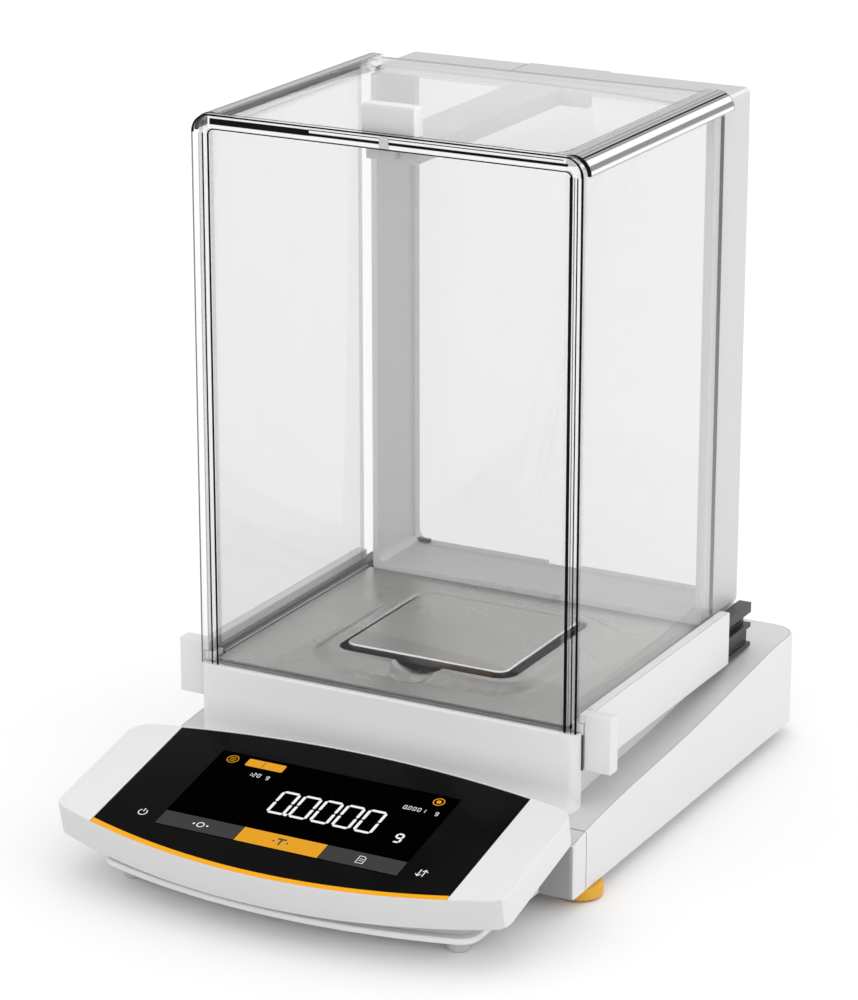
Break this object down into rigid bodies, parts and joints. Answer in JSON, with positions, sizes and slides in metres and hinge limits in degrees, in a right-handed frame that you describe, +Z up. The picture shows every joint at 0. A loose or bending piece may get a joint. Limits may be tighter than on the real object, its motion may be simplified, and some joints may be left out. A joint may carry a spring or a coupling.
{
  "type": "analytical balance",
  "caption": "Analytical balance: a steel pan inside a tall glass draft shield with sliding side doors and roof, over a low base with a tilted touch display in front.",
  "frame": {"origin": "on the table, under the middle of the whole balance", "axes": "+Z up, +X the user's right when facing the display, and the display looks towards -Y"},
  "size_m": [0.212, 0.3188, 0.3195],
  "materials": {
    "white_plastic": "fine moulded satin, near white",
    "grey_plastic": "moulded, light grey",
    "black_plastic": "moulded, satin black",
    "cast_base": "powder coated die casting, light grey",
    "clear_glass": "clear, polished edges",
    "clear_plastic": "clear moulded, glossy",
    "brushed_steel": "stainless, fine brushed grain",
    "aluminium": "machined, satin",
    "brass": "machined",
    "display_glass": "black backed touch panel, polished",
    "screen": "colour display module",
    "accent_orange": "satin orange trim",
    "foot_yellow": "moulded yellow",
    "rubber": "black, matt",
    "circuit_board": "green solder mask"
  },
  "bodies": {
    "root": {"accent_strip": "accent_orange", "base_tray": "cast_base", "beam_screw": "aluminium", "bubble_level_cup": "black_plastic", "bubble_level_lens": "clear_glass", "cal_motor": "aluminium", "coil_lever": "brass", "column": "white_plastic", "column_cover": "white_plastic", "display_board": "circuit_board", "display_bottom_cover": "grey_plastic", "display_housing": "white_plastic", "door_rail_left": "black_plastic", "door_rail_right": "black_plastic", "floor_plate": "brushed_steel", "front_catch": "black_plastic", "front_frame": "clear_plastic", "front_housing": "white_plastic", "front_pad_left": "rubber", "front_pad_right": "rubber", "front_pane": "clear_glass", "magnet_system": "black_plastic", "main_board": "circuit_board", "main_housing": "white_plastic", "network_socket": "aluminium", "pane_clip_left": "black_plastic", "pane_clip_right": "black_plastic", "power_socket": "black_plastic", "rear_foot_left": "rubber", "rear_foot_right": "rubber", "rear_pane": "clear_glass", "rear_panel": "grey_plastic", "roof_beam": "grey_plastic", "roof_rail_left": "clear_plastic", "roof_rail_right": "clear_plastic", "screen_module": "screen", "touch_glass": "display_glass", "usb_socket": "aluminium", "weigh_cell": "aluminium"},
    "door_left": {"side_pane_left": "clear_glass", "door_skirt_left": "white_plastic", "door_handle_left": "white_plastic"},
    "door_right": {"side_pane_right": "clear_glass", "door_skirt_right": "white_plastic", "door_handle_right": "white_plastic"},
    "roof": {"roof_glass": "clear_glass", "roof_handle": "white_plastic"},
    "pan_carrier": {"pan_support": "aluminium"},
    "pan": {"weighing_pan": "brushed_steel"},
    "level_foot_left": {"level_pad_left": "rubber"},
    "level_screw_left": {"level_wheel_left": "foot_yellow", "level_stud_left": "aluminium"},
    "level_foot_right": {"level_pad_right": "rubber"},
    "level_screw_right": {"level_wheel_right": "foot_yellow", "level_stud_right": "aluminium"},
    "hook_plate": {"hook_cover": "black_plastic"},
    "cal_screw": {"cal_spindle": "brushed_steel"},
    "cal_lift": {"cal_lifter": "grey_plastic", "cal_weight": "brushed_steel"}
  },
  "joints": [
    {"name": "door_left_slide", "type": "slide", "parent": "root", "child": "door_left", "axis": [0, 1, 0], "range_m": [0, 0.125]},
    {"name": "door_right_slide", "type": "slide", "parent": "root", "child": "door_right", "axis": [0, 1, 0], "range_m": [0, 0.125]},
    {"name": "roof_slide", "type": "slide", "parent": "root", "child": "roof", "axis": [0, 1, 0], "range_m": [0, 0.12]},
    {"name": "pan_carrier_lift", "type": "slide", "parent": "root", "child": "pan_carrier", "axis": [0, 0, 1], "range_m": [0, 0.02]},
    {"name": "pan_lift", "type": "slide", "parent": "pan_carrier", "child": "pan", "axis": [0, 0, 1], "range_m": [0, 0.05]},
    {"name": "level_travel_left", "type": "slide", "parent": "root", "child": "level_foot_left", "axis": [0, 0, 1], "range_m": [-0.004, 0]},
    {"name": "level_turn_left", "type": "hinge", "parent": "level_foot_left", "child": "level_screw_left", "pos_m": [-0.096, -0.0547, 0.003], "axis": [0, 0, 1], "range_deg": [0, 1440]},
    {"name": "level_travel_right", "type": "slide", "parent": "root", "child": "level_foot_right", "axis": [0, 0, 1], "range_m": [-0.004, 0]},
    {"name": "level_turn_right", "type": "hinge", "parent": "level_foot_right", "child": "level_screw_right", "pos_m": [0.096, -0.0547, 0.003], "axis": [0, 0, 1], "range_deg": [0, 1440]},
    {"name": "hook_cover_turn", "type": "hinge", "parent": "root", "child": "hook_plate", "pos_m": [0.024, 0.0248, 0.005], "axis": [0, 0, 1], "range_deg": [0, 100]},
    {"name": "cal_screw_turn", "type": "hinge", "parent": "root", "child": "cal_screw", "pos_m": [-0.046, 0.045, 0.03], "axis": [0, 0, 1], "range_deg": [0, 1260]},
    {"name": "cal_lift_travel", "type": "slide", "parent": "root", "child": "cal_lift", "axis": [0, 0, 1], "range_m": [-0.0035, 0]}
  ],
  "couplings": [
    {"joint": "level_turn_left", "follows": "level_travel_left", "rad_per_m": -6283},
    {"joint": "level_turn_right", "follows": "level_travel_right", "rad_per_m": -6283},
    {"joint": "cal_screw_turn", "follows": "cal_lift_travel", "rad_per_m": -6283}
  ]
}
